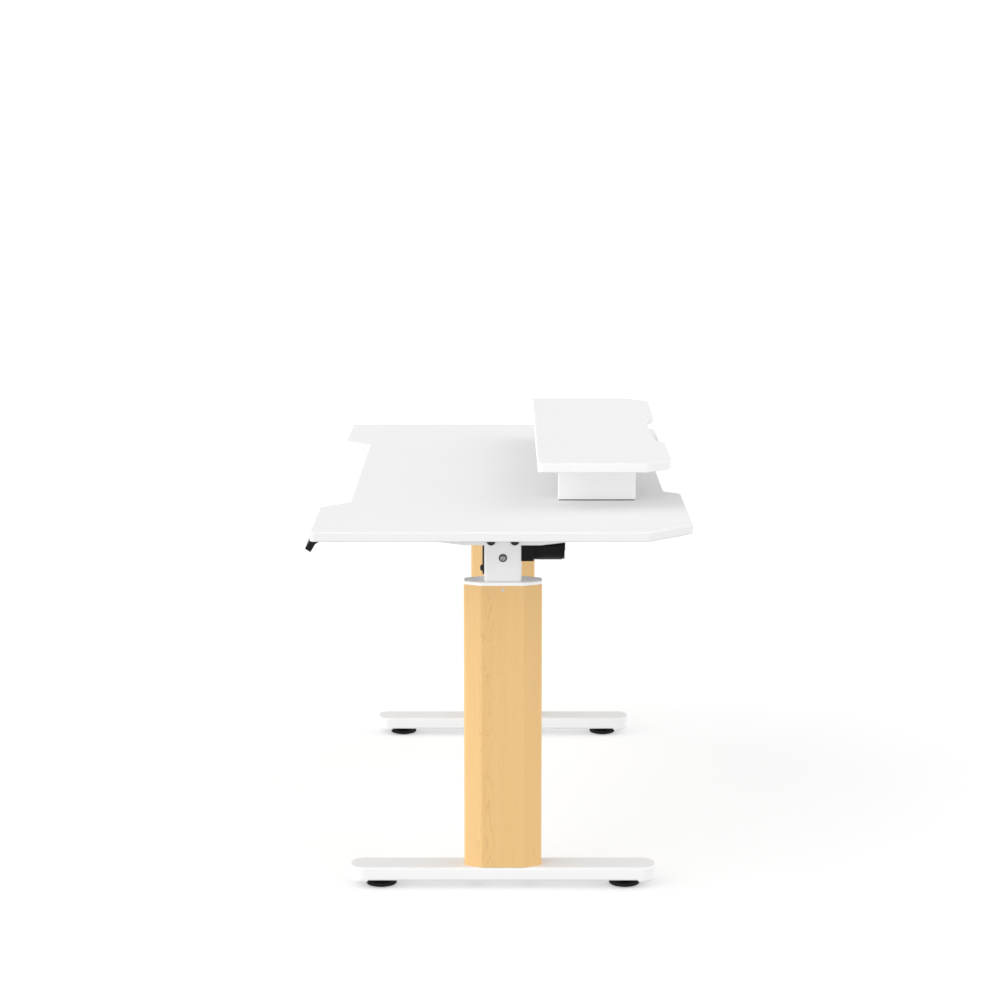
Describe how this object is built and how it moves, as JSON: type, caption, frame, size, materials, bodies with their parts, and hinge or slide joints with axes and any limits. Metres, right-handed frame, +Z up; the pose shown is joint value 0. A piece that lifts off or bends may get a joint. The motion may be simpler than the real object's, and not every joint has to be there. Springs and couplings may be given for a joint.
{
  "type": "height adjustable standing desk",
  "caption": "Electric sit-stand desk: white stepped top with a raised monitor shelf, wood-clad telescopic legs, long feet with levelling pads, motors and a handset.",
  "frame": {"origin": "on the floor, midway between the two legs (the handset makes the box reach 16 mm further at the front)", "axes": "+X along the desk to the user's right, +Y away from the user, +Z up"},
  "size_m": [1.4, 0.7161, 0.796],
  "materials": {
    "white_board": "satin white laminate on fibreboard",
    "white_powder_coat": "satin white powder coat",
    "white_plastic": "moulded, satin",
    "wood_facing": "light oak facing with straight vertical grain, satin",
    "black_plastic": "moulded, fine matt texture",
    "key_plastic": "moulded, smooth",
    "display_window": "smoked window",
    "black_casting": "black enamel on metal",
    "black_steel": "black oxide",
    "plain_steel": "bright",
    "zinc_steel": "zinc plated",
    "nylon": "natural",
    "dark_rubber": "matt",
    "circuit_board": "solder mask"
  },
  "bodies": {
    "base": {"foot_beam_left": "white_powder_coat", "foot_beam_right": "white_powder_coat", "foot_end_caps": "white_plastic", "foot_bolts": "black_steel", "levelling_nuts": "zinc_steel", "outer_tube_left": "white_powder_coat", "outer_tube_right": "white_powder_coat", "column_cladding_left": "wood_facing", "column_cladding_right": "wood_facing", "cladding_screws": "zinc_steel", "column_collars": "white_plastic", "upper_glides": "nylon", "nut_posts": "white_powder_coat", "spindle_nuts": "nylon"},
    "top": {"control_board": "circuit_board", "control_box_base": "black_plastic", "control_box_cover": "black_plastic", "desktop": "white_board", "desktop_screws": "zinc_steel", "frame_bolts": "black_steel", "frame_rails": "white_powder_coat", "gearbox_bolts": "plain_steel", "gearbox_housing_left": "black_casting", "gearbox_housing_right": "black_casting", "gearbox_plates": "black_steel", "handset_back": "black_plastic", "handset_case": "black_plastic", "handset_display": "display_window", "inner_tube_left": "white_powder_coat", "inner_tube_right": "white_powder_coat", "lower_glides": "nylon", "monitor_shelf": "white_board", "motor_left": "black_casting", "motor_right": "black_casting", "plate_screws": "black_steel", "shelf_pads": "dark_rubber", "shelf_screws": "zinc_steel", "shelf_support_left": "white_board", "shelf_support_right": "white_board", "side_bracket_left": "white_powder_coat", "side_bracket_right": "white_powder_coat", "spindle_bearings": "plain_steel"},
    "levelling_foot_front_left": {"levelling_pad_front_left": "black_plastic", "levelling_stud_front_left": "zinc_steel"},
    "levelling_foot_front_right": {"levelling_pad_front_right": "black_plastic", "levelling_stud_front_right": "zinc_steel"},
    "levelling_foot_back_left": {"levelling_pad_back_left": "black_plastic", "levelling_stud_back_left": "zinc_steel"},
    "levelling_foot_back_right": {"levelling_pad_back_right": "black_plastic", "levelling_stud_back_right": "zinc_steel"},
    "spindle_left_assembly": {"spindle_left": "plain_steel", "worm_wheel_left": "nylon"},
    "worm_left": {"worm_left": "plain_steel"},
    "spindle_right_assembly": {"spindle_right": "plain_steel", "worm_wheel_right": "nylon"},
    "worm_right": {"worm_right": "plain_steel"},
    "key_up": {"key_up": "key_plastic"},
    "key_down": {"key_down": "key_plastic"},
    "key_1": {"key_1": "key_plastic"},
    "key_2": {"key_2": "key_plastic"}
  },
  "joints": [
    {"name": "lift", "type": "slide", "parent": "base", "child": "top", "axis": [0, 0, 1], "range_m": [0, 0.45]},
    {"name": "spindle_left_spin", "type": "hinge", "parent": "top", "child": "spindle_left_assembly", "pos_m": [-0.564, 0, 0.3], "axis": [0, 0, 1], "continuous": true},
    {"name": "worm_left_spin", "type": "hinge", "parent": "top", "child": "worm_left", "pos_m": [-0.5506, 0, 0.6515], "axis": [0, 1, 0], "continuous": true},
    {"name": "spindle_right_spin", "type": "hinge", "parent": "top", "child": "spindle_right_assembly", "pos_m": [0.564, 0, 0.3], "axis": [0, 0, 1], "continuous": true},
    {"name": "worm_right_spin", "type": "hinge", "parent": "top", "child": "worm_right", "pos_m": [0.5506, 0, 0.6515], "axis": [0, 1, 0], "continuous": true},
    {"name": "level_front_left", "type": "slide", "parent": "base", "child": "levelling_foot_front_left", "axis": [0, 0, -1], "range_m": [0, 0.008]},
    {"name": "level_front_right", "type": "slide", "parent": "base", "child": "levelling_foot_front_right", "axis": [0, 0, -1], "range_m": [0, 0.008]},
    {"name": "level_back_left", "type": "slide", "parent": "base", "child": "levelling_foot_back_left", "axis": [0, 0, -1], "range_m": [0, 0.008]},
    {"name": "level_back_right", "type": "slide", "parent": "base", "child": "levelling_foot_back_right", "axis": [0, 0, -1], "range_m": [0, 0.008]},
    {"name": "key_up_press", "type": "slide", "parent": "top", "child": "key_up", "axis": [0, 0.8572, -0.515], "range_m": [0, 0.0006], "stiffness_N_per_m": 2000},
    {"name": "key_down_press", "type": "slide", "parent": "top", "child": "key_down", "axis": [0, 0.8572, -0.515], "range_m": [0, 0.0006], "stiffness_N_per_m": 2000},
    {"name": "key_1_press", "type": "slide", "parent": "top", "child": "key_1", "axis": [0, 0.8572, -0.515], "range_m": [0, 0.0006], "stiffness_N_per_m": 2000},
    {"name": "key_2_press", "type": "slide", "parent": "top", "child": "key_2", "axis": [0, 0.8572, -0.515], "range_m": [0, 0.0006], "stiffness_N_per_m": 2000}
  ],
  "couplings": [
    {"joint": "spindle_left_spin", "follows": "lift", "rad_per_m": 628.32},
    {"joint": "worm_left_spin", "follows": "lift", "rad_per_m": -15080},
    {"joint": "spindle_right_spin", "follows": "lift", "rad_per_m": 628.32},
    {"joint": "worm_right_spin", "follows": "lift", "rad_per_m": 15080}
  ]
}
